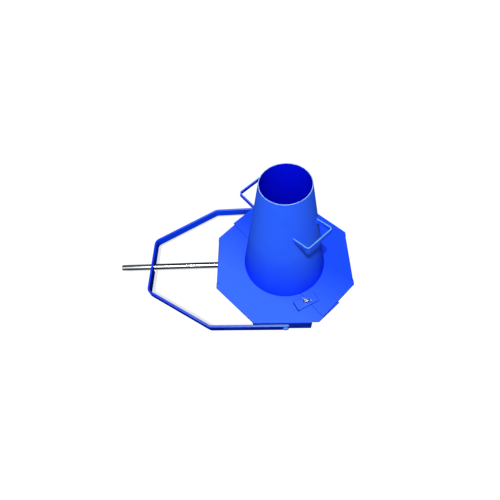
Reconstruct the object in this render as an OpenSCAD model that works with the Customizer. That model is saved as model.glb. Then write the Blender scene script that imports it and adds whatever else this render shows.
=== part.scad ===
// Slump cone kit: a sheet-steel cone with two strip handles, standing on a base of two lapped
// leaves, with a bail over the base, two clamps on the lap and the tamping rod stored beneath.
// Millimetres, +Z up, floor at Z = 0, origin under the middle of the whole kit's footprint.
// Near is the side at -Y, left is the side at -X, where the bail lies and the rod comes out.

/* [Cone] */
// Inside diameter of the cone at its top
cone_top_d = 100; // [90:1:110]
// Inside diameter of the cone at its foot
cone_foot_d = 200; // [190:1:204]
// Height of the cone
cone_h = 300; // [280:1:315]
// Thickness of the cone's sheet
cone_wall = 1.5; // [1.2:0.1:3]
// How far right of the base's middle the cone stands
cone_right = 4.4; // [0:0.2:8]
// How far in front of the base's middle the cone stands
cone_front = 2.4; // [0:0.2:8]
// Direction of the cone's side seam, in degrees from +X
seam_turn = 78; // [60:1:110]
// Width of the weld bead on the side seam
seam_bead_w = 3; // [2:0.5:5]

/* [Lifting handles] */
// Height of the handles' roots above the cone's foot
handle_h = 204; // [120:1:240]
// Direction of the front handle, in degrees from +X
front_turn = -48; // [-80:1:-20]
// Width of a handle between the middles of its legs
handle_w = 68; // [50:1:80]
// Gap between the cone and the front handle's grip
front_grip_gap = 29; // [24:1:45]
// Gap between the cone and the rear handle's grip
rear_grip_gap = 36; // [24:1:45]
// Width of the strip that a handle is bent from
handle_strip_w = 12; // [8:1:20]
// Thickness of the strip that a handle is bent from
handle_strip_t = 3; // [2:0.5:5]
// Inside radius of a handle's bends
handle_bend_r = 4; // [2:1:8]
// Leg of the weld beads at a handle's roots
handle_bead = 2; // [1:0.5:3]

/* [Base leaves] */
// Width of the base across its flats
plate_w = 340; // [330:1:400]
// Leg of the cut at each corner of the base
corner_cut = 94.5; // [80:0.5:100]
// Thickness of the leaves' sheet
sheet = 3; // [2:0.5:4]
// Height of the lower leaf's top above the floor
leaf_h = 40; // [38:1:60]
// Width of the lap where the upper leaf lies on the lower one
lap = 55; // [45:1:70]
// Direction across the lap, in degrees from +X
lap_turn = 38; // [34:1:42]
// Direction of a leaf's end edge beside the lap, in degrees from its flat side
leaf_end_turn = 42.3; // [41:0.1:45]
// Length of the left and right lips; the near and far ones run on to one corner
lip_len = 124; // [90:1:130]
// Inside radius of the lips' bends
lip_bend_r = 2.5; // [1:0.5:5]
// How far a leaf's edge lies behind the lip's face, beside the leaf's end edge
edge_back = 2; // [0.5:0.5:4]
// Width of the relief slits at the ends of a lip
relief_w = 0.5; // [0.5:0.5:4]

/* [Bail] */
// Height of the pivots and of the stored rod above the floor
axis_h = 24; // [22:0.5:26]
// Length of a straight arm, from its pivot to the middle of its bend
bail_arm = 182; // [170:1:200]
// Distance from the pivots to the middle of the crossbar
bail_reach = 352; // [345:1:400]
// Width of the crossbar between the middles of its bends
bail_cross = 154; // [120:1:180]
// Height of the bail's flat bar
bail_bar_h = 25; // [24:1:30]
// Thickness of the bail's flat bar
bail_bar_t = 6; // [4:0.5:8]
// Inside radius of the bail's bends
bail_bend_r = 14; // [4:1:16]
// Length of an arm beyond its pivot
bail_end = 7; // [7:0.5:14]

/* [Pivots] */
// Diameter of the pivot bolts
pivot_d = 8; // [6:1:10]
// Diameter of the pivot bolts' domed heads
pivot_head_d = 15; // [13:1:20]
// Height of the pivot bolts' domed heads
pivot_head_h = 4; // [3:0.5:6]
// Diameter of the pivot washers
pivot_washer_d = 17; // [15:0.5:20]
// Thickness of the pivot washers
pivot_washer_t = 1.6; // [1:0.1:3]
// Width across the flats of the pivot nuts
pivot_nut_w = 13; // [12:0.5:17]
// Height of the pivot nuts
pivot_nut_h = 6.5; // [5:0.5:8]

/* [Tamping rod] */
// Diameter of the rod
rod_d = 16; // [14:0.5:16.5]
// Length of the rod
rod_len = 610; // [590:1:650]
// Diameter of the hole in the right lip that the rod's round tip seats in
tip_hole_d = 12; // [8:0.5:13]

/* [Clamps] */
// Diameter of the clamp bolts
clamp_bolt_d = 6; // [5:1:8]
// Distance from the cone's foot to the middle of the near clamp bolt
clamp_out = 24; // [20:0.5:30]
// Distance from the lap's edge to the middle of a clamp bolt
clamp_back = 5.6; // [5:0.1:8]
// Direction of the near clamp plate, in degrees from +X
clamp_turn = 27; // [20:1:35]
// Length of a clamp plate
clamp_len = 56; // [50:1:60]
// Width of a clamp plate
clamp_w = 24.5; // [20:0.5:28]
// Thickness of a clamp plate
clamp_t = 4; // [3:0.5:6]
// Length of the heel under a clamp plate's end
heel_len = 5; // [3:0.5:8]
// Diameter of the clamp bolts' domed heads
clamp_head_d = 14; // [12:1:16]
// Height of the clamp bolts' domed heads
clamp_head_h = 3.4; // [2:0.1:5]
// Diameter of the washers under the wing nuts
clamp_washer_d = 14; // [13:0.5:18]
// Thickness of the washers under the wing nuts
clamp_washer_t = 1.6; // [1:0.1:3]

/* [Wing nuts] */
// Diameter of a wing nut's hub at its foot
hub_d = 12; // [10:0.5:14]
// Diameter of a wing nut's hub at its top
hub_top_d = 9.5; // [9:0.5:12]
// Height of a wing nut's hub
hub_h = 7; // [5:0.5:10]
// Distance over the tips of a wing nut's wings
wing_span = 27; // [24:0.5:32]
// Height of a wing nut over its wings
wing_h = 14; // [12:0.5:18]
// Thickness of a wing
wing_t = 2.4; // [1.5:0.1:4]
// Radius of a wing's round tip
wing_r = 4; // [3:0.5:5]
// Direction of the near wing nut's wings, in degrees from +X
near_wing_turn = -18; // [-90:1:90]
// Direction of the far wing nut's wings, in degrees from +X
far_wing_turn = 58; // [-90:1:90]

/* [Clearances] */
// Gap on each side of a bail arm at its pivot
arm_slip = 0.2; // [0.1:0.1:0.5]
// Gap round a turning pin in its hole
pin_slip = 0.1; // [0.05:0.05:0.2]
// Gap round a fixed bolt in its hole
bolt_gap = 0.3; // [0.2:0.1:0.6]
// Gap round the rod in the left lip
rod_gap = 0.4; // [0.3:0.1:0.8]
// Gap round the rod in the crossbar's notch
notch_gap = 0.9; // [0.6:0.1:1.2]
// Gap between the rod's tip and its seat
tip_gap = 0.3; // [0.2:0.1:0.5]

/* [Hidden] */

$fn = 96;
// Facets round the cone, and steps round a strip's bend
cone_fn = 360;
bend_steps = 12;
paint = [0.13, 0.36, 0.98];
dark_paint = [0.08, 0.22, 0.80];
zinc = [0.80, 0.82, 0.84];
bright_steel = [0.86, 0.87, 0.88];

// Overrun of a cutting solid past the face that it cuts
cut = 1;
near_side = -90;
far_side = 90;
half_turn = 180;
left_side = half_turn;

// Levels of the leaves
leaf_under = leaf_h - sheet;
deck = leaf_h + sheet;

// Plan of the base: half width, half length of a flat, and how deep a lip's bend reaches in
half = plate_w / 2;
flat = half - corner_cut;
bend_in = lip_bend_r + sheet;
lip_end = lip_len / 2;
lap_dir = [cos(lap_turn), sin(lap_turn)];
lap_run = [sin(lap_turn), -cos(lap_turn)];
end_run = [cos(leaf_end_turn), sin(leaf_end_turn)];

// The cone's outside and the slope of its wall
foot_r = cone_foot_d / 2 + cone_wall;
top_r = cone_top_d / 2 + cone_wall;
wall_tilt = atan((foot_r - top_r) / cone_h);
handle_root_r = foot_r - (foot_r - top_r) * handle_h / cone_h;
rear_turn = front_turn + half_turn;
cone_at = [cone_right, -cone_front];

// The bail's arms run outside the lips, past a washer
arm_in = half + pivot_washer_t + arm_slip;
arm_mid = arm_in + bail_bar_t / 2;
head_at = arm_in + bail_bar_t + arm_slip;

// The rod's round tip seats in its hole, just short of touching
seat_depth = rod_d / 2 - sqrt(pow(rod_d / 2, 2) - pow(tip_hole_d / 2, 2));
tip_x = half - sheet + seat_depth - tip_gap;
rod_chamfer = 1;

// The near clamp bolt stands behind the lap's edge and off the cone's foot
clamp_r = foot_r + clamp_out;
clamp_across = -lap / 2 - clamp_back - cone_at * lap_dir;
clamp_along = sqrt(pow(clamp_r, 2) - pow(clamp_across, 2));
clamp_at = cone_at + clamp_across * lap_dir + clamp_along * lap_run;
clamp_bolt_out = 2;
clamp_stack = clamp_t + 2 * sheet + clamp_washer_t + hub_h + clamp_bolt_out;

// The kit's footprint puts the origin under its middle
kit_left = min(tip_x - rod_len, -bail_reach - bail_bar_t / 2);
frame_x = -(kit_left + half) / 2;

// Point where the line from p along u meets the line from q along v
function meet(p, u, q, v) = p + u * ((q[0] - p[0]) * v[1] - (q[1] - p[1]) * v[0])
    / (u[0] * v[1] - u[1] * v[0]);

// Headings along a bent strip's path
function heading(p, q) = atan2(q[1] - p[1], q[0] - p[0]);
function wrap(a) = a > 180 ? a - 360 : a < -180 ? a + 360 : a;
function left_of(a) = [-sin(a), cos(a)];

// Moves a piece from the base's own plan to the kit's frame
module placed() {
    translate([frame_x, 0, 0]) children();
}

// Moves a piece from the cone's axis and foot to the base's plan
module on_deck() {
    placed() translate([cone_right, -cone_front, deck]) children();
}

// Offset s to the left of a path's corner i, round the bend there
function bend_side(path, i, mid_r, s) =
    let (
        a = heading(path[i - 1], path[i]),
        turn = wrap(heading(path[i], path[i + 1]) - a),
        side = turn > 0 ? 1 : -1,
        centre = path[i] - mid_r * tan(abs(turn) / 2) * [cos(a), sin(a)] + side * mid_r * left_of(a)
    )
    [
        for (k = [0 : bend_steps])
            centre - (side * mid_r - s) * left_of(a + turn * k / bend_steps)
    ];

// The strip's side that lies s to the left of its path, from end to end
function strip_side(path, mid_r, s) =
    let (last = len(path) - 1)
    concat(
        [path[0] + s * left_of(heading(path[0], path[1]))],
        [for (i = [1 : last - 1]) each bend_side(path, i, mid_r, s)],
        [path[last] + s * left_of(heading(path[last - 1], path[last]))]
    );

function turned_over(list) = [for (i = [len(list) - 1 : -1 : 0]) list[i]];

// Flat strip bent along a path of middle points
module bent_strip(path, t, bend_r, w) {
    mid_r = bend_r + t / 2;
    linear_extrude(w, center = true)
        polygon(concat(
            strip_side(path, mid_r, t / 2),
            turned_over(strip_side(path, mid_r, -t / 2))
        ));
}

// Domed bolt with its head's flat face at Z = 0 and its shank upward
module domed_bolt(d, length, head_d, head_h) {
    dome_r = (pow(head_d / 2, 2) + pow(head_h, 2)) / (2 * head_h);
    cylinder(d = d, h = length);
    intersection() {
        translate([0, 0, dome_r - head_h]) sphere(r = dome_r);
        translate([0, 0, -head_h]) cylinder(d = head_d, h = head_h);
    }
}

module washer(outer_d, bore_d, t) {
    difference() {
        cylinder(d = outer_d, h = t);
        translate([0, 0, -cut]) cylinder(d = bore_d, h = t + 2 * cut);
    }
}

// Plan of the lower leaf; the upper leaf is the same plan turned half round
module leaf_plan() {
    edge = half - edge_back;
    lap_edge = lap / 2 * lap_dir;
    end_start = meet([0, -edge], [1, 0], [flat, -half], end_run);
    end_corner = meet([flat, -half], end_run, lap_edge, lap_run);
    back_corner = meet([-half, flat], [1, 1], lap_edge, lap_run);
    polygon([
        back_corner,
        [-half, flat], [-half, -flat],
        [-flat, -half], [lip_end, -half],
        [lip_end, -edge], end_start,
        end_corner
    ]);
}

// Lip along one side, from start to end: a quarter bend and a leg down to the floor
module lip(side, start, end, top) {
    rotate(side) translate([0, end, 0]) rotate([90, 0, 0]) linear_extrude(end - start) {
        translate([half - sheet, 0]) square([sheet, top - bend_in]);
        translate([half - bend_in, top - bend_in]) intersection() {
            difference() {
                circle(bend_in);
                circle(lip_bend_r);
            }
            square(bend_in);
        }
    }
}

// Room for a lip's bend and for the relief slits at its ends
module lip_room(side, start, end, top) {
    rotate(side)
        translate([half - bend_in, start - relief_w, top - sheet - cut])
        cube([bend_in + cut, end - start + 2 * relief_w, sheet + 2 * cut]);
}

module lip_hole(side, d) {
    rotate(side)
        translate([half - sheet - cut, 0, axis_h])
        rotate([0, 90, 0])
        cylinder(d = d, h = sheet + 2 * cut);
}

// One folded leaf with its top at the given level, drawn as the lower leaf
module folded_leaf(top, rod_hole_d) {
    difference() {
        union() {
            difference() {
                translate([0, 0, top - sheet]) linear_extrude(sheet) leaf_plan();
                lip_room(left_side, -lip_end, lip_end, top);
                lip_room(near_side, -half, lip_end, top);
            }
            lip(left_side, -lip_end, lip_end, top);
            intersection() {
                linear_extrude(top) leaf_plan();
                lip(near_side, -half, lip_end, top);
            }
        }
        lip_hole(left_side, rod_hole_d);
        lip_hole(near_side, pivot_d + 2 * bolt_gap);
        translate([clamp_at[0], clamp_at[1], top - sheet - cut])
            cylinder(d = clamp_bolt_d + 2 * bolt_gap, h = sheet + 2 * cut);
    }
}

module lower_leaf() {
    color(paint) placed() folded_leaf(leaf_h, rod_d + 2 * rod_gap);
}

module upper_leaf() {
    color(paint) placed() rotate(half_turn) folded_leaf(deck, tip_hole_d);
}

// Places a clamp piece on its bolt's axis: the far clamp is turned half round
module at_clamp(far, z) {
    placed()
        rotate(far ? half_turn : 0)
        translate([clamp_at[0], clamp_at[1], z])
        children();
}

module clamp_bolt(far) {
    color(zinc) at_clamp(far, far ? leaf_under - clamp_t : leaf_under)
        domed_bolt(clamp_bolt_d, clamp_stack, clamp_head_d, clamp_head_h);
}

// Clamp plate with its sole at Z = 0 and its heel one sheet lower
module clamp_plate() {
    difference() {
        union() {
            translate([-clamp_len / 2, -clamp_w / 2, 0]) cube([clamp_len, clamp_w, clamp_t]);
            translate([-clamp_len / 2, -clamp_w / 2, -sheet]) cube([heel_len, clamp_w, sheet + clamp_t]);
        }
        translate([0, 0, -sheet - cut])
            cylinder(d = clamp_bolt_d + 2 * pin_slip, h = sheet + clamp_t + 2 * cut);
    }
}

module near_clamp_plate() {
    color(paint) at_clamp(false, deck) rotate(clamp_turn) clamp_plate();
}

// The far clamp grips the lap from beneath, where the leaves' order is turned over
module far_clamp_plate() {
    color(paint) at_clamp(true, leaf_under) rotate(clamp_turn) mirror([0, 0, 1]) clamp_plate();
}

module clamp_washer(far) {
    color(zinc) at_clamp(far, far ? deck : deck + clamp_t)
        washer(clamp_washer_d, clamp_bolt_d + 2 * bolt_gap, clamp_washer_t);
}

// One wing: a round tip joined to the hub by two straight edges
module wing() {
    tip = [wing_span / 2 - wing_r, wing_h - wing_r];
    root_h = hub_h - 1;
    lean = atan2(tip[1] - root_h / 2, tip[0]);
    rotate([90, 0, 0]) linear_extrude(wing_t, center = true) {
        translate(tip) circle(wing_r);
        polygon([
            [0, 1],
            [hub_d / 2 - 1, 1],
            tip + wing_r * [sin(lean), -cos(lean)],
            tip + wing_r * [-sin(lean), cos(lean)],
            [0, root_h]
        ]);
    }
}

module wing_nut(far, turn) {
    color(zinc) at_clamp(far, (far ? deck : deck + clamp_t) + clamp_washer_t)
        rotate(far ? turn - half_turn : turn)
        difference() {
            union() {
                cylinder(d1 = hub_d, d2 = hub_top_d, h = hub_h);
                wing();
                rotate(half_turn) wing();
            }
            translate([0, 0, -cut])
                cylinder(d = clamp_bolt_d + 2 * pin_slip, h = wing_h + 2 * cut);
        }
}

// Places a pivot piece with Z pointing out of its lip, from a distance off the base's middle
module at_pivot(side, out) {
    placed() rotate(side) translate([out, 0, axis_h]) rotate([0, 90, 0]) children();
}

module pivot_bolt(side) {
    thread_out = 2;
    inner = half - sheet - pivot_washer_t - pivot_nut_h - thread_out;
    color(dark_paint) at_pivot(side, head_at)
        rotate([half_turn, 0, 0])
        domed_bolt(pivot_d, head_at - inner, pivot_head_d, pivot_head_h);
}

module pivot_washers(side) {
    bore = pivot_d + 2 * bolt_gap;
    color(zinc) {
        at_pivot(side, half) washer(pivot_washer_d, bore, pivot_washer_t);
        at_pivot(side, half - sheet - pivot_washer_t) washer(pivot_washer_d, bore, pivot_washer_t);
    }
}

module pivot_nut(side) {
    color(zinc) at_pivot(side, half - sheet - pivot_washer_t - pivot_nut_h) difference() {
        cylinder(d = pivot_nut_w / cos(30), h = pivot_nut_h, $fn = 6);
        translate([0, 0, -cut]) cylinder(d = pivot_d, h = pivot_nut_h + 2 * cut);
    }
}

// Flat bar bent round the base, with a notch in its underside that straddles the stored rod
module bail_handle() {
    notch_w = rod_d + 2 * notch_gap;
    path = [
        [bail_end, -arm_mid],
        [-bail_arm, -arm_mid],
        [-bail_reach, -bail_cross / 2],
        [-bail_reach, bail_cross / 2],
        [-bail_arm, arm_mid],
        [bail_end, arm_mid]
    ];
    color(paint) placed() translate([0, 0, axis_h]) difference() {
        bent_strip(path, bail_bar_t, bail_bend_r, bail_bar_h);
        for (side = [near_side, far_side])
            rotate(side)
                translate([arm_in - cut, 0, 0])
                rotate([0, 90, 0])
                cylinder(d = pivot_d + 2 * pin_slip, h = bail_bar_t + 2 * cut);
        translate([-bail_reach - bail_bar_t / 2 - cut, -notch_w / 2, -bail_bar_h / 2 - cut])
            cube([bail_bar_t + 2 * cut, notch_w, bail_bar_h / 2 + notch_w / 2 + cut]);
    }
}

// Steel rod: a round tamping tip at the right, a chamfered end at the left
module tamping_rod() {
    ball_x = tip_x - rod_d / 2;
    color(bright_steel) placed() translate([ball_x, 0, axis_h]) rotate([0, -90, 0]) {
        sphere(d = rod_d);
        cylinder(d = rod_d, h = rod_len - rod_d / 2 - rod_chamfer);
        translate([0, 0, rod_len - rod_d / 2 - rod_chamfer])
            cylinder(d1 = rod_d, d2 = rod_d - 2 * rod_chamfer, h = rod_chamfer);
    }
}

// The cone's outside as a solid, standing on its foot
module cone_outside() {
    cylinder(r1 = foot_r, r2 = top_r, h = cone_h, $fn = cone_fn);
}

module cone_shell() {
    slope = (cone_foot_d - cone_top_d) / 2 / cone_h;
    color(paint) on_deck() difference() {
        cone_outside();
        translate([0, 0, -cut]) cylinder(
            r1 = cone_foot_d / 2 + slope * cut,
            r2 = cone_top_d / 2 - slope * cut,
            h = cone_h + 2 * cut,
            $fn = cone_fn
        );
    }
}

// Low bead along the side seam, cut off level with the foot and the rim
module cone_seam_weld() {
    bead_r = seam_bead_w / 2;
    sink = bead_r / 2;
    length = norm([foot_r - top_r, cone_h]);
    color(paint) on_deck() difference() {
        intersection() {
            rotate(seam_turn)
                translate([foot_r - sink, 0, 0])
                rotate([0, -wall_tilt, 0])
                translate([0, 0, -bead_r])
                cylinder(r = bead_r, h = length + 2 * bead_r);
            cylinder(r = foot_r + bead_r, h = cone_h);
        }
        cone_outside();
    }
}

// Moves a piece to a handle's root: X out along the wall's normal, Z up along the wall
module at_handle(turn) {
    on_deck()
        rotate(turn)
        translate([handle_root_r, 0, handle_h])
        rotate([0, -wall_tilt, 0])
        children();
}

// Strip handle whose legs run into the cone, where its outside trims them
module handle_strip(gap) {
    grip_x = gap + handle_strip_t / 2;
    root_x = handle_strip_t - handle_root_r;
    path = [
        [root_x, -handle_w / 2],
        [grip_x, -handle_w / 2],
        [grip_x, handle_w / 2],
        [root_x, handle_w / 2]
    ];
    bent_strip(path, handle_strip_t, handle_bend_r, handle_strip_w);
}

module lift_handle(turn, gap) {
    color(paint) difference() {
        at_handle(turn) handle_strip(gap);
        on_deck() cone_outside();
    }
}

// Beads up both sides of each leg, where it meets the wall
module handle_welds(turn, gap) {
    reach = handle_strip_w / 2;
    color(paint) difference() {
        at_handle(turn) for (leg = [-1, 1], face = [-1, 1]) {
            y = leg * handle_w / 2 + face * handle_strip_t / 2;
            x = sqrt(pow(handle_root_r, 2) - pow(y, 2)) - handle_root_r;
            translate([x, y, -reach]) {
                cylinder(r = handle_bead, h = 2 * reach);
                sphere(handle_bead);
                translate([0, 0, 2 * reach]) sphere(handle_bead);
            }
        }
        on_deck() cone_outside();
        at_handle(turn) handle_strip(gap);
    }
}

lower_leaf();
upper_leaf();
clamp_bolt(false);  // near_clamp_bolt
clamp_bolt(true);  // far_clamp_bolt
near_clamp_plate();
far_clamp_plate();
clamp_washer(false);  // near_clamp_washer
clamp_washer(true);  // far_clamp_washer
wing_nut(false, near_wing_turn);  // near_wing_nut
wing_nut(true, far_wing_turn);  // far_wing_nut
pivot_bolt(near_side);  // near_pivot_bolt
pivot_bolt(far_side);  // far_pivot_bolt
pivot_washers(near_side);  // near_pivot_washers
pivot_washers(far_side);  // far_pivot_washers
pivot_nut(near_side);  // near_pivot_nut
pivot_nut(far_side);  // far_pivot_nut
bail_handle();
tamping_rod();
cone_shell();
cone_seam_weld();
lift_handle(front_turn, front_grip_gap);  // front_lift_handle
lift_handle(rear_turn, rear_grip_gap);  // rear_lift_handle
handle_welds(front_turn, front_grip_gap);  // front_handle_welds
handle_welds(rear_turn, rear_grip_gap);  // rear_handle_welds
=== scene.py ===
"""Looks of the slump cone kit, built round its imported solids. Metres, +Z up, floor at Z = 0."""

import math

import bmesh
import bpy
from mathutils import Matrix, Vector


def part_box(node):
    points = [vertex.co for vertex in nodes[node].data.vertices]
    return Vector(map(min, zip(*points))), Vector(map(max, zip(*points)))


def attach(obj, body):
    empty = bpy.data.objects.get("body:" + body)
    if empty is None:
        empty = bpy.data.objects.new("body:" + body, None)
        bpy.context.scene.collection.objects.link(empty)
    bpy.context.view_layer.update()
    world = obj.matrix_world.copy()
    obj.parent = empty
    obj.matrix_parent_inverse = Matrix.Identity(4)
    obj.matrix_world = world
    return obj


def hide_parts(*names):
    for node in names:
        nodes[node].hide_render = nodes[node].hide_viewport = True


MM = 0.001
TURN = 2 * math.pi

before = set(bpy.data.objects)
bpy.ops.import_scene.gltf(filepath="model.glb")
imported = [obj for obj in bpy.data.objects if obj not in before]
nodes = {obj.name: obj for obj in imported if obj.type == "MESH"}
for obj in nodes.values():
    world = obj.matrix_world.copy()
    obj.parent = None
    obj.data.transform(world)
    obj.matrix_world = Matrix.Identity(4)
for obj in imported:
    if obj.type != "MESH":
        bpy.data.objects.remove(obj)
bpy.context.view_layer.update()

# Sizes that the frame doesn't give, as the solids have them
CONE_WALL = 1.5 * MM
CONE_TAPER = 50 * MM
SEAM_TURN = math.radians(78)
SEAM_BEAD_R = 1.5 * MM
HANDLE_RISE = 204 * MM
HANDLE_W = 68 * MM
HANDLE_STRIP_W = 12 * MM
HANDLE_STRIP_T = 3 * MM
HANDLE_BEAD = 2 * MM
HANDLE_TURNS = {"front": math.radians(-48), "rear": math.radians(132)}
SHEET_T = 3 * MM
CLAMP_PLATE_H = 8 * MM
CLAMP_BOLT_D = 6 * MM
CLAMP_HEAD_H = 3.4 * MM
PIVOT_BOLT_D = 8 * MM
PIVOT_HEAD_H = 4 * MM
PIVOT_NUT_ACROSS = 13 * MM
PIVOT_WASHER_T = 1.6 * MM
WASHER_GAP = 0.3 * MM

# Detail that the solids leave out. The thread's depth is in pitches
CLAMP_PITCH = 1.0 * MM
PIVOT_PITCH = 1.25 * MM
THREAD_DEPTH = 0.55
RINGS_PER_PITCH = 6
DOME_RINGS = 12
ROD_TIP_RINGS = 16
ROD_SECTIONS = 8

# Faces meet smoothly under the first angle, and an outer edge over the second is rounded
SMOOTH_DEGREES = 32
SHARP_ANGLE = math.radians(40)

# Points this close are one point, and faces this near to one plane are one face
SAME_POINT = 0.002 * MM
SAME_PLANE = math.radians(0.3)

# Linear colours of rim wear, painted paler as a highlight line, and of the dark reflection painted
# between the rod's streaks
RIM_WEAR_HIGHLIGHT = (0.30, 0.50, 0.92)
DARK_REFLECTION_PAINT = (0.010, 0.014, 0.022)

# Direction from the rod's axis to one of its three bright streaks, a painted highlight with painted dark
# reflection between them
ROD_HIGHLIGHT_STREAK = Vector((0, -0.46, 0.89))

# Places that the pieces share, read from the frame
cone_low, cone_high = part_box("cone_shell")
cone_axis = Vector(((cone_low.x + cone_high.x) / 2, (cone_low.y + cone_high.y) / 2, 0))
cone_foot_r = (cone_high.x - cone_low.x) / 2
cone_top_r = cone_foot_r - CONE_TAPER
cone_foot_z = cone_low.z
cone_rim_z = cone_high.z
cone_tilt = math.atan(CONE_TAPER / (cone_rim_z - cone_foot_z))
bail_low, bail_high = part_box("bail_handle")
rod_low, rod_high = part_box("tamping_rod")


# Meshes

def new_piece(name, verts, faces, smooth_angle=SMOOTH_DEGREES):
    """A mesh object with smooth shading up to an angle between faces, in degrees."""
    mesh = bpy.data.meshes.new(name)
    mesh.from_pydata([tuple(v) for v in verts], [], faces)
    tidy_normals(mesh)
    shade(mesh, smooth_angle)
    piece = bpy.data.objects.new(name, mesh)
    bpy.context.scene.collection.objects.link(piece)
    return piece


def tidy_normals(mesh):
    shell = bmesh.new()
    shell.from_mesh(mesh)
    bmesh.ops.recalc_face_normals(shell, faces=shell.faces)
    shell.to_mesh(mesh)
    shell.free()


def shade(mesh, smooth_angle):
    mesh.polygons.foreach_set("use_smooth", [True] * len(mesh.polygons))
    mesh.set_sharp_from_angle(angle=math.radians(smooth_angle))
    mesh.update()


def softened(node, width, segments):
    """A node's form with its sharp outer edges rounded over, as sheared and sprayed steel is."""
    shell = bmesh.new()
    shell.from_mesh(nodes[node].data)
    bmesh.ops.remove_doubles(shell, verts=shell.verts, dist=SAME_POINT)
    bmesh.ops.dissolve_limit(
        shell, angle_limit=SAME_PLANE, verts=shell.verts, edges=shell.edges,
    )
    shell.verts.index_update()
    verts = [vert.co.copy() for vert in shell.verts]
    faces = [[vert.index for vert in face.verts] for face in shell.faces]
    shell.free()
    piece = new_piece(node + "_finish", verts, faces)
    mark_outer_edges(piece.data)
    edges = piece.modifiers.new("edges", "BEVEL")
    edges.width = width
    edges.segments = segments
    edges.limit_method = "WEIGHT"
    edges.use_clamp_overlap = False
    return piece


def mark_outer_edges(mesh):
    """Bevel weight on the sharp outer edges. Inner corners stay as they are."""
    shell = bmesh.new()
    shell.from_mesh(mesh)
    weight = shell.edges.layers.float.new("bevel_weight_edge")
    for edge in shell.edges:
        if edge.is_manifold and edge.is_convex and edge.calc_face_angle() > SHARP_ANGLE:
            edge[weight] = 1
    shell.to_mesh(mesh)
    shell.free()


def ring_solid(name, rows, steps, place, smooth_angle, closed=False):
    """Skin through rings of points. A row is (height, radius), or (height, function of the angle).

    A closed skin joins its last ring to its first. An open one gets a fan of faces at each end.
    """
    verts = []
    faces = []
    for z, radius in rows:
        for k in range(steps):
            angle = TURN * k / steps
            r = radius(angle) if callable(radius) else radius
            verts.append(place @ Vector((r * math.cos(angle), r * math.sin(angle), z)))
    bands = len(rows) if closed else len(rows) - 1
    for j in range(bands):
        a = j * steps
        b = (j + 1) % len(rows) * steps
        for k in range(steps):
            n = (k + 1) % steps
            faces.append((a + k, a + n, b + n, b + k))
    if not closed:
        for j, z in ((0, rows[0][0]), (len(rows) - 1, rows[-1][0])):
            hub = len(verts)
            verts.append(place @ Vector((0, 0, z)))
            for k in range(steps):
                faces.append((j * steps + k, j * steps + (k + 1) % steps, hub))
    return new_piece(name, verts, faces, smooth_angle)


def rounded_profile(corners, radius, steps):
    """Points of a closed (height, radius) outline with each corner rounded."""
    points = []
    count = len(corners)
    for i, corner in enumerate(corners):
        here = Vector(corner)
        before = (Vector(corners[i - 1]) - here).normalized()
        after = (Vector(corners[(i + 1) % count]) - here).normalized()
        half = before.angle(after) / 2
        reach = radius / math.tan(half)
        centre = here + (before + after).normalized() * radius / math.sin(half)
        start = here + before * reach - centre
        end = here + after * reach - centre
        for k in range(steps + 1):
            spoke = start.lerp(end, k / steps).normalized() * radius
            points.append(tuple(centre + spoke))
    return points


def pointing(start, direction):
    """Matrix that puts the origin at start and turns Z to the direction."""
    turn = direction.to_track_quat("Z", "Y").to_matrix().to_4x4()
    return Matrix.Translation(start) @ turn


def bolt(name, node, direction, shank_d, head_h, pitch):
    """Domed, threaded bolt in a node's box. The direction is that of its shank."""
    rim_step = 0.3 * MM
    plain_tip = 0.5 * MM
    tip_chamfer = 0.4 * MM
    low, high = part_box(node)
    middle = (low + high) / 2
    half_size = (high - low) / 2
    axis = max(range(3), key=lambda i: abs(direction[i]))
    reach = half_size[axis]
    head_r = max(half_size[i] for i in range(3) if i != axis)
    dome_r = (head_r ** 2 + head_h ** 2) / (2 * head_h)
    rows = []
    for k in range(1, DOME_RINGS + 1):
        lean = math.asin(head_r / dome_r) * k / DOME_RINGS
        rows.append((dome_r * (1 - math.cos(lean)), dome_r * math.sin(lean)))
    rows.append((head_h, head_r - rim_step))
    rows.append((head_h, shank_d / 2))
    end = 2 * reach
    depth = THREAD_DEPTH * pitch
    step = pitch / RINGS_PER_PITCH
    for k in range(int((end - head_h - plain_tip) / step)):
        z = head_h + k * step
        rows.append((z, thread_radius(shank_d / 2, depth, z / pitch)))
    rows.append((end - tip_chamfer, shank_d / 2 - depth))
    rows.append((end, shank_d / 2 - depth - tip_chamfer))
    place = pointing(middle - direction * reach, direction)
    return ring_solid(name, rows, 36, place, smooth_angle=40)


def thread_radius(major, depth, turns):
    """Radius of a thread's ring as a function of the angle, at a height in turns."""
    def radius(angle):
        phase = (turns - angle / TURN) % 1
        return major - depth * abs(2 * phase - 1)
    return radius


def ring_washer(name, low, high, axis, bore_r):
    """Stamped washer in a box, with rounded edges."""
    edge_r = 0.35 * MM
    middle = (low + high) / 2
    thick = high[axis] - low[axis]
    outer_r = max((high[i] - low[i]) / 2 for i in range(3) if i != axis)
    corners = [(0, outer_r), (thick, outer_r), (thick, bore_r), (0, bore_r)]
    rows = rounded_profile(corners, edge_r, 3)
    direction = Vector([1.0 if i == axis else 0.0 for i in range(3)])
    place = pointing(middle - direction * thick / 2, direction)
    return ring_solid(name, rows, 72, place, smooth_angle=50, closed=True)


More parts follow.
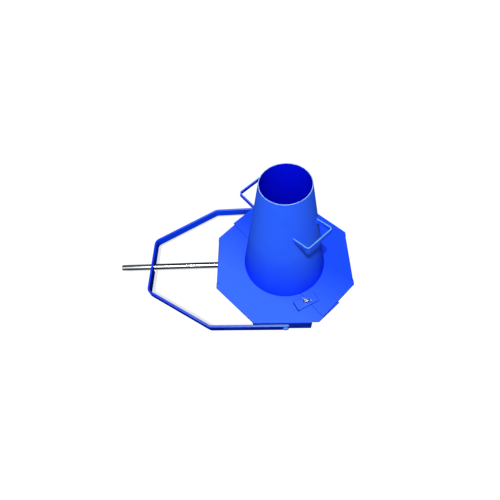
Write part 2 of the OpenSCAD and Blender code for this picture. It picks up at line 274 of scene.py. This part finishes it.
def lock_nut(name, node, direction, across, bore_r):
    """Hexagon nut along Y, chamfered, with a locking collar. The direction is that of the collar."""
    low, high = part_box(node)
    middle = (low + high) / 2
    height = high.y - low.y
    hex_h = height * 0.78
    collar_r = across / 2 * 0.9
    side = math.pi / 3

    def hexagon(limit):
        def radius(angle):
            off = (angle + side / 2) % side - side / 2
            return min(across / 2 / math.cos(off), limit)
        return radius

    # Both faces have a 30 degree chamfer, which cuts the corners and leaves the flats
    chamfer = [(k * 0.15 * MM, across / 2 + k * 0.26 * MM) for k in range(6)]
    rows = [(z, hexagon(limit)) for z, limit in chamfer]
    rows += [(hex_h - z, hexagon(limit)) for z, limit in reversed(chamfer)]
    rows += [(hex_h, collar_r), (height - 0.8 * MM, collar_r - 0.1 * MM)]
    rows += [(height - 0.2 * MM, collar_r - 0.7 * MM), (height, collar_r - 1.4 * MM)]
    rows += [(height, bore_r), (0, bore_r)]
    place = pointing(middle - direction * height / 2, direction)
    return ring_solid(name, rows, 96, place, smooth_angle=28, closed=True)


def bead(name, place, start, end, radius, pitch, sink, round_ends=True):
    """Welding bead along Z, one overlapping scale after another. X points out of the sheet."""
    rows = []
    count = int((end - start) / pitch * RINGS_PER_PITCH)
    for k in range(count + 1):
        z = start + (end - start) * k / count
        # Each scale swells and narrows, and the bead as a whole wanders a little
        scale = z / pitch % 1
        swell = 0.80 + 0.20 * math.sin(math.pi * scale) ** 0.6
        wander = 1 + 0.05 * math.sin(z * 1700) + 0.04 * math.sin(z * 3100 + 1)
        r = radius * swell * wander
        if round_ends:
            left = min(z - start, end - z)
            r *= math.sqrt(max(0.04, 1 - max(0, 1 - left / radius) ** 2))
        rows.append((z, cut_back(min(r, radius), sink)))
    return ring_solid(name, rows, 16, place, smooth_angle=60)


def cut_back(r, sink):
    """A round section that goes no deeper into the sheet than sink."""
    def radius(angle):
        inward = -math.cos(angle)
        return min(r, sink / inward) if inward > 0.01 else r
    return radius


# Nodes of materials

def new_material(name):
    material = bpy.data.materials.new(name)
    material.use_nodes = True
    tree = material.node_tree
    return material, tree, tree.nodes["Principled BSDF"]


def coordinates(tree, output="Object"):
    return tree.nodes.new("ShaderNodeTexCoord").outputs[output]


def noise(tree, scale, detail, roughness=0.55, stretch=None):
    vector = coordinates(tree)
    field = tree.nodes.new("ShaderNodeTexNoise")
    field.inputs["Scale"].default_value = scale
    field.inputs["Detail"].default_value = detail
    field.inputs["Roughness"].default_value = roughness
    if stretch:
        mapping = tree.nodes.new("ShaderNodeMapping")
        mapping.inputs["Scale"].default_value = stretch
        tree.links.new(vector, mapping.inputs["Vector"])
        vector = mapping.outputs["Vector"]
    tree.links.new(vector, field.inputs["Vector"])
    return field.outputs["Fac"]


def between(tree, field, low, high, start=0.3, end=0.7):
    """Numbers from low to high as the field goes from start to end."""
    remap = tree.nodes.new("ShaderNodeMapRange")
    remap.inputs["From Min"].default_value = start
    remap.inputs["From Max"].default_value = end
    remap.inputs["To Min"].default_value = low
    remap.inputs["To Max"].default_value = high
    tree.links.new(field, remap.inputs["Value"])
    return remap.outputs["Result"]


def combined(tree, operation, first, second=None):
    node = tree.nodes.new("ShaderNodeMath")
    node.operation = operation
    tree.links.new(first, node.inputs[0])
    if second:
        tree.links.new(second, node.inputs[1])
    return node.outputs[0]


def vector_maths(tree, operation, vector, constant):
    node = tree.nodes.new("ShaderNodeVectorMath")
    node.operation = operation
    node.inputs[1].default_value = constant
    tree.links.new(vector, node.inputs[0])
    return node


def blend_colours(tree, field, first, second):
    """First and second are colours, or sockets that give them."""
    mix = tree.nodes.new("ShaderNodeMix")
    mix.data_type = "RGBA"
    tree.links.new(field, mix.inputs["Factor"])
    for socket, colour in ((mix.inputs["A"], first), (mix.inputs["B"], second)):
        if isinstance(colour, tuple):
            socket.default_value = (*colour, 1)
        else:
            tree.links.new(colour, socket)
    return mix.outputs["Result"]


def bump(tree, field, strength, distance, under=None):
    node = tree.nodes.new("ShaderNodeBump")
    node.inputs["Strength"].default_value = strength
    node.inputs["Distance"].default_value = distance
    tree.links.new(field, node.inputs["Height"])
    if under:
        tree.links.new(under, node.inputs["Normal"])
    return node.outputs["Normal"]


def along(tree, axis, low, high):
    """0 up to the low place on an axis and 1 from the high one."""
    split = tree.nodes.new("ShaderNodeSeparateXYZ")
    tree.links.new(coordinates(tree), split.inputs[0])
    return between(tree, split.outputs[axis], 0, 1, low, high)


# Paints

def slope_light_and_shade(tree):
    """Painted light and shade: 1 on faces that lie level, which get the lighter colour, and 0 on upright
    ones, which get the shaded colour.
    """
    split = tree.nodes.new("ShaderNodeSeparateXYZ")
    tree.links.new(coordinates(tree, "Normal"), split.inputs[0])
    return between(tree, combined(tree, "ABSOLUTE", split.outputs["Z"]), 0, 1, 0.35, 0.9)


def cone_light_upward(tree):
    """Painted light: 0 just below the cone's foot and 1 from halfway up, so the cone's paint is lighter
    up its wall.
    """
    return along(tree, "Z", cone_foot_z - 10 * MM, cone_foot_z + 150 * MM)


def whole_cone(tree):
    """0 at the cone's foot and 1 at its rim."""
    return along(tree, "Z", cone_foot_z, cone_rim_z)


def sheet_light_near_left(tree):
    """Painted light across the level sheet: lightest at the near left, with painted shade deepening
    towards the far right.
    """
    across = vector_maths(tree, "DOT_PRODUCT", coordinates(tree), (0.6, 0.8, 0))
    far_shade = between(tree, across.outputs["Value"], 0, 1, -20 * MM, 130 * MM)
    return blend_colours(tree, far_shade, (0.036, 0.125, 0.92), (0.010, 0.060, 0.92))


def bar_edge_highlight(tree):
    """Painted highlight on the bar's level edges, paler from the cross bar towards the pivots."""
    toward_pivots = along(tree, "X", bail_low.x, bail_high.x)
    return blend_colours(tree, toward_pivots, (0.005, 0.037, 0.72), (0.120, 0.225, 0.66))


def bar_sides_shaded(tree):
    """Painted shade on the bar's upright faces, deeper on the near half and lighter on the far half."""
    far = along(tree, "Y", -70 * MM, 50 * MM)
    return blend_colours(tree, far, (0.002, 0.011, 0.30), (0.004, 0.055, 0.97))


def enamel(name, deep, light, field_of, gloss=0.0, rim_wear_highlight=False):
    """Sprayed enamel, from deep to light as a field rises, with drift, orange peel and sags.

    Deep and light are colours, or functions that give a socket.
    """
    material, tree, surface = new_material(name)
    drift = between(tree, noise(tree, scale=9, detail=4), -0.12, 0.12)
    # The field paints light and shade: the deep colour where it is low and the light one where it is
    # high.
    share = combined(tree, "ADD", field_of(tree), drift)
    deep = deep(tree) if callable(deep) else deep
    light = light(tree) if callable(light) else light
    colour = blend_colours(tree, share, deep, light)
    # Rim wear, painted paler as a highlight line round the rim.
    if rim_wear_highlight:
        edge = along(tree, "Z", cone_rim_z - 0.9 * MM, cone_rim_z - 0.3 * MM)
        patchy = between(tree, noise(tree, scale=70, detail=4), 0.55, 1, 0.35, 0.5)
        colour = blend_colours(tree, combined(tree, "MULTIPLY", edge, patchy), colour, RIM_WEAR_HIGHLIGHT)
    tree.links.new(colour, surface.inputs["Base Color"])
    rough = between(tree, noise(tree, scale=26, detail=5), 0.34, 0.48)
    tree.links.new(rough, surface.inputs["Roughness"])
    peel = bump(tree, noise(tree, scale=420, detail=2), 0.25, 0.06 * MM)
    sags = bump(tree, noise(tree, scale=60, detail=2), 0.12, 0.25 * MM, peel)
    tree.links.new(sags, surface.inputs["Normal"])
    surface.inputs["Specular IOR Level"].default_value = gloss
    return material


# Metals

def reflection_bands(tree):
    """Painted reflection: 0 on three bright streaks along the rod, a third of a turn apart, and 1 on the
    dark bands painted between them.

    With c the cosine of the angle from a streak, c (4 c c - 3) is that of three times the angle.
    """
    axis = (rod_low + rod_high) / 2
    radii = ROD_HIGHLIGHT_STREAK / (rod_high.z - rod_low.z) * 2
    offset = vector_maths(tree, "SUBTRACT", coordinates(tree), axis)
    toward = vector_maths(tree, "DOT_PRODUCT", offset.outputs["Vector"], radii)
    cosine = toward.outputs["Value"]
    square = combined(tree, "MULTIPLY", cosine, cosine)
    triple = combined(tree, "MULTIPLY", between(tree, square, -3, 1, 0, 1), cosine)
    return between(tree, triple, 1, 0, 0.55, 1.0)


def bare_steel(name, light, dark, stretch, rough, stain_scale, reflection_banded=False):
    """Stained metal with fine scratches. Banded, it has a painted dark reflection between bright
    streaks.
    """
    material, tree, surface = new_material(name)
    surface.inputs["Metallic"].default_value = 1
    scratches = noise(tree, scale=220, detail=6, roughness=0.7, stretch=stretch)
    stain = between(tree, noise(tree, stain_scale, detail=5), 0, 1, 0.4, 0.6)
    colour = blend_colours(tree, stain, light, dark)
    if reflection_banded:
        field = noise(tree, scale=160, detail=5, roughness=0.6, stretch=stretch)
        ragged = between(tree, field, -0.15, 0.15)
        # Dark reflection painted between the bright streaks.
        dark_reflection_share = combined(tree, "ADD", reflection_bands(tree), ragged)
        colour = blend_colours(tree, dark_reflection_share, colour, DARK_REFLECTION_PAINT)
    tree.links.new(colour, surface.inputs["Base Color"])
    uneven = between(tree, scratches, rough - 0.06, rough + 0.08)
    tree.links.new(uneven, surface.inputs["Roughness"])
    tree.links.new(bump(tree, scratches, 0.12, 0.05 * MM), surface.inputs["Normal"])
    return material


# The sheet, edge, bar and handle enamels are painted lighter on level faces and deeper on upright ones:
# painted light and shade.
sheet_paint = enamel("sheet_enamel", (0.003, 0.020, 0.31), sheet_light_near_left, slope_light_and_shade)
edge_shade_paint = enamel("edge_shade_enamel", (0.0005, 0.004, 0.08), (0.001, 0.012, 0.16), slope_light_and_shade)
bar_paint = enamel("bar_enamel", bar_sides_shaded, bar_edge_highlight, slope_light_and_shade)
# The handle's pale colour on level faces is a painted highlight on its top edges.
handle_paint_highlit = enamel("handle_enamel", (0.022, 0.080, 0.95), (0.110, 0.400, 0.60), slope_light_and_shade)
# The cone's enamel is painted lighter up the wall: painted light.
cone_paint = enamel(
    "cone_enamel", (0.001, 0.030, 0.99), (0.026, 0.124, 0.99), cone_light_upward, rim_wear_highlight=True,
)
# The bore is a darker copy of the cone's enamel: painted shade inside the cone.
bore_shaded_paint = enamel(
    "bore_shaded_enamel", (0.001, 0.003, 0.99), (0.002, 0.008, 0.99), whole_cone, 0.03, rim_wear_highlight=True,
)
zinc = bare_steel(
    "zinc_plate", (0.52, 0.62, 0.64), (0.14, 0.19, 0.24),
    stretch=(1, 1, 1), rough=0.26, stain_scale=240,
)
oversprayed = bare_steel(
    "oversprayed_zinc", (0.07, 0.17, 0.62), (0.02, 0.06, 0.30),
    stretch=(1, 1, 1), rough=0.35, stain_scale=240,
)
steel = bare_steel(
    "polished_rod", (0.80, 0.84, 0.87), (0.66, 0.71, 0.75),
    stretch=(0.04, 1, 1), rough=0.22, stain_scale=30, reflection_banded=True,
)


def dress(piece, material, body, node):
    """Gives a piece its material and body, and has it take the place of a node."""
    piece.data.materials.clear()
    piece.data.materials.append(material)
    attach(piece, body)
    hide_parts(node)
    return piece


# Cone

def make_cone():
    corners = [
        (cone_foot_z, cone_foot_r), (cone_rim_z, cone_top_r),
        (cone_rim_z, cone_top_r - CONE_WALL), (cone_foot_z, cone_foot_r - CONE_WALL),
    ]
    rows = rounded_profile(corners, 0.6 * MM, 4)
    place = Matrix.Translation(cone_axis)
    skin = ring_solid("cone_skin", rows, 192, place, smooth_angle=50, closed=True)
    dress(skin, cone_paint, "cone", "cone_shell")
    # The inward faces get the darker bore enamel, painted shade.
    skin.data.materials.append(bore_shaded_paint)
    for face in skin.data.polygons:
        outward = face.center - cone_axis
        if face.normal.x * outward.x + face.normal.y * outward.y < 0:
            face.material_index = 1


def on_wall(turn, out, rise):
    """Matrix at a place on the cone: X out along the wall's normal, Z up along the wall."""
    return (
        Matrix.Translation(cone_axis + Vector((0, 0, cone_foot_z)))
        @ Matrix.Rotation(turn, 4, "Z")
        @ Matrix.Translation((out, 0, rise))
        @ Matrix.Rotation(-cone_tilt, 4, "Y")
    )


def make_seam():
    place = on_wall(SEAM_TURN, cone_foot_r - SEAM_BEAD_R / 2, 0)
    start = 0.5 * MM
    end = (cone_rim_z - cone_foot_z) / math.cos(cone_tilt) - start
    pitch = 2.2 * MM
    sink = 0.3 * MM
    seam = bead("seam_bead", place, start, end, SEAM_BEAD_R, pitch, sink, round_ends=False)
    dress(seam, cone_paint, "cone", "cone_seam_weld")


def make_handle_welds(end):
    """Two beads at each leg of a handle, on either face of the strip."""
    root_r = cone_foot_r - CONE_TAPER * HANDLE_RISE / (cone_rim_z - cone_foot_z)
    place = on_wall(HANDLE_TURNS[end], root_r, HANDLE_RISE)
    reach = HANDLE_STRIP_W / 2 + 0.8 * HANDLE_BEAD
    pitch = 1.9 * MM
    sink = 0.6 * MM
    for leg_name, leg in (("a", -1), ("b", 1)):
        for face_name, face in (("a", -1), ("b", 1)):
            y = leg * HANDLE_W / 2 + face * HANDLE_STRIP_T / 2
            x = math.sqrt(root_r ** 2 - y ** 2) - root_r
            name = f"{end}_weld_{leg_name}{face_name}"
            at = place @ Matrix.Translation((x, y, 0))
            weld = bead(name, at, -reach, reach, HANDLE_BEAD, pitch, sink)
            dress(weld, cone_paint, "cone", f"{end}_handle_welds")


make_cone()
make_seam()
for end, paint in (("front", handle_paint_highlit), ("rear", bar_paint)):
    make_handle_welds(end)
    node = f"{end}_lift_handle"
    dress(softened(node, 1.0 * MM, 3), paint, "cone", node)


# Base and bail

def shade_edges(piece, tallest):
    """Painted shade on the edges: the upright faces less tall than this and all rounded edges get a
    darker paint.
    """
    piece.data.materials.append(edge_shade_paint)
    # The rounded bevel faces get the dark edge paint too: painted shade.
    piece.modifiers["edges"].material = 1
    for face in piece.data.polygons:
        rise = [piece.data.vertices[v].co.z for v in face.vertices]
        if abs(face.normal.z) < 0.1 and max(rise) - min(rise) < tallest:
            face.material_index = 1


for node in ("lower_leaf", "upper_leaf"):
    leaf = dress(softened(node, 0.9 * MM, 3), sheet_paint, "base", node)
    shade_edges(leaf, 1.05 * SHEET_T)
dress(softened("bail_handle", 1.5 * MM, 4), bar_paint, "bail", "bail_handle")


# Pivots

def make_pivot(side, inward):
    shank = Vector((0, inward, 0))
    node = f"{side}_pivot_bolt"
    turned = bolt(node + "_turned", node, shank, PIVOT_BOLT_D, PIVOT_HEAD_H, PIVOT_PITCH)
    # The bolt's domed head takes the handle paint, so its top has a painted highlight.
    dress(turned, handle_paint_highlit, "base", node)
    node = f"{side}_pivot_nut"
    nut = lock_nut(node + "_hex", node, shank, PIVOT_NUT_ACROSS, PIVOT_BOLT_D / 2)
    dress(nut, zinc, "base", node)
    low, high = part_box(f"{side}_pivot_washers")
    thick = Vector((0, PIVOT_WASHER_T, 0))
    span = Vector((0, high.y - low.y, 0))
    for k, (a, b) in enumerate(((low, high - span + thick), (low + span - thick, high))):
        ring = ring_washer(f"{side}_pivot_washer_{k}", a, b, 1, PIVOT_BOLT_D / 2 + WASHER_GAP)
        dress(ring, zinc, "base", f"{side}_pivot_washers")


make_pivot("near", 1)
make_pivot("far", -1)


# Clamps

def make_clamp(side):
    up = Vector((0, 0, 1))
    node = f"{side}_clamp_bolt"
    turned = bolt(node + "_turned", node, up, CLAMP_BOLT_D, CLAMP_HEAD_H, CLAMP_PITCH)
    dress(turned, zinc, "base", node)
    node = f"{side}_clamp_washer"
    low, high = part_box(node)
    washer = ring_washer(node + "_ring", low, high, 2, CLAMP_BOLT_D / 2 + WASHER_GAP)
    dress(washer, oversprayed, "base", node)
    node = f"{side}_clamp_plate"
    plate = dress(softened(node, 0.8 * MM, 3), sheet_paint, f"{side}_clamp", node)
    shade_edges(plate, CLAMP_PLATE_H)
    node = f"{side}_wing_nut"
    dress(softened(node, 0.5 * MM, 3), zinc, f"{side}_nut", node)


make_clamp("near")
make_clamp("far")


# Tamping rod

def make_rod():
    """Round bar with a broken edge at its left end and a round tip at its right one."""
    radius = (rod_high.z - rod_low.z) / 2
    length = rod_high.x - rod_low.x
    straight = length - radius
    rows = [(0, radius - 1.0 * MM), (0.9 * MM, radius - 0.1 * MM), (1.4 * MM, radius)]
    rows += [(straight * k / ROD_SECTIONS, radius) for k in range(1, ROD_SECTIONS + 1)]
    for k in range(1, ROD_TIP_RINGS):
        lean = math.pi / 2 * k / ROD_TIP_RINGS
        rows.append((straight + radius * math.sin(lean), radius * math.cos(lean)))
    rows.append((length - 0.01 * MM, 0.4 * MM))
    start = Vector((rod_low.x, (rod_low.y + rod_high.y) / 2, (rod_low.z + rod_high.z) / 2))
    place = pointing(start, Vector((1, 0, 0)))
    rod = ring_solid("rod_turned", rows, 64, place, smooth_angle=40)
    dress(rod, steel, "rod", "tamping_rod")


make_rod()


# Floor

def seen_rays(tree):
    """1 for rays that show the background, straight or in metal, and 0 for those that light."""
    path = tree.nodes.new("ShaderNodeLightPath")
    seen = combined(tree, "MAXIMUM", path.outputs["Is Camera Ray"], path.outputs["Is Glossy Ray"])
    return combined(tree, "MAXIMUM", seen, path.outputs["Is Transmission Ray"])


def make_floor():
    """White to camera, glossy and transmission rays, and dark to diffuse ones. It keeps the shadow."""
    reach = 6.0
    white = 0.74
    verts = [(-reach, -reach, 0), (reach, -reach, 0), (reach, reach, 0), (-reach, reach, 0)]
    floor = new_piece("floor", verts, [(0, 1, 2, 3)])
    material, tree, surface = new_material("pale_floor")
    grain = between(tree, noise(tree, scale=3, detail=3), 0, 1)
    colour = blend_colours(tree, grain, (0.26, 0.26, 0.26), (0.25, 0.25, 0.25))
    tree.links.new(colour, surface.inputs["Base Color"])
    surface.inputs["Roughness"].default_value = 0.9
    surface.inputs["Specular IOR Level"].default_value = 0.1
    glow = tree.nodes.new("ShaderNodeEmission")
    tree.links.new(between(tree, seen_rays(tree), 0, white, 0, 1), glow.inputs["Strength"])
    add = tree.nodes.new("ShaderNodeAddShader")
    tree.links.new(surface.outputs[0], add.inputs[0])
    tree.links.new(glow.outputs[0], add.inputs[1])
    tree.links.new(add.outputs[0], tree.nodes["Material Output"].inputs["Surface"])
    floor.data.materials.append(material)


make_floor()


# Light

def make_sun(name, toward, energy, angle):
    """Sun that stands in a direction from the part and is an angle in degrees across."""
    light = bpy.data.lights.new(name, "SUN")
    light.energy = energy
    light.angle = math.radians(angle)
    lamp = bpy.data.objects.new(name, light)
    lamp.rotation_mode = "QUATERNION"
    lamp.rotation_quaternion = Vector(toward).to_track_quat("Z", "Y")
    bpy.context.scene.collection.objects.link(lamp)


def make_lights():
    """A key beside the camera, a soft fill from the front, and a ceiling that is dark at the horizon."""
    make_sun("key", toward=(-0.093, -0.346, 0.934), energy=3.7, angle=3)
    make_sun("fill", toward=(-0.10, -0.90, 0.42), energy=0.45, angle=50)

    world = bpy.data.worlds.new("studio")
    bpy.context.scene.world = world
    world.use_nodes = True
    tree = world.node_tree
    split = tree.nodes.new("ShaderNodeSeparateXYZ")
    tree.links.new(coordinates(tree, "Generated"), split.inputs[0])
    ceiling = between(tree, split.outputs["Z"], low=0.03, high=0.24, start=0.15, end=0.85)
    strength = combined(tree, "MAXIMUM", ceiling, seen_rays(tree))
    tree.links.new(strength, tree.nodes["Background"].inputs["Strength"])
    tree.nodes["Background"].inputs["Color"].default_value = (1, 1, 1, 1)


make_lights()


# Camera

def make_camera():
    """The photograph's viewpoint, solved from the rim, the foot and the base's outline."""
    yaw, pitch, roll = -0.233988, 1.007854, -0.239092
    focal_px = 351.147
    centre_px = (227.122, 243.788)
    frame_px = 500
    forward = Vector((
        math.sin(yaw) * math.cos(pitch), math.cos(yaw) * math.cos(pitch), -math.sin(pitch),
    ))
    right = Vector((math.cos(yaw), -math.sin(yaw), 0))
    up = right.cross(forward)
    right_rolled = math.cos(roll) * right + math.sin(roll) * up
    up_rolled = -math.sin(roll) * right + math.cos(roll) * up
    eye = Vector((cone_axis.x - 31.217 * MM, cone_axis.y - 441.845 * MM, 854.173 * MM))
    lens = bpy.data.cameras.new("camera")
    lens.sensor_width = 36
    lens.lens = focal_px / frame_px * lens.sensor_width
    lens.shift_x = (frame_px / 2 - centre_px[0]) / frame_px
    lens.shift_y = (centre_px[1] - frame_px / 2) / frame_px
    lens.clip_start = 0.01
    camera = bpy.data.objects.new("camera", lens)
    camera.matrix_world = Matrix((
        (right_rolled.x, up_rolled.x, -forward.x, eye.x),
        (right_rolled.y, up_rolled.y, -forward.y, eye.y),
        (right_rolled.z, up_rolled.z, -forward.z, eye.z),
        (0, 0, 0, 1),
    ))
    bpy.context.scene.collection.objects.link(camera)
    bpy.context.scene.camera = camera


make_camera()
bpy.context.scene.view_settings.view_transform = "Standard"
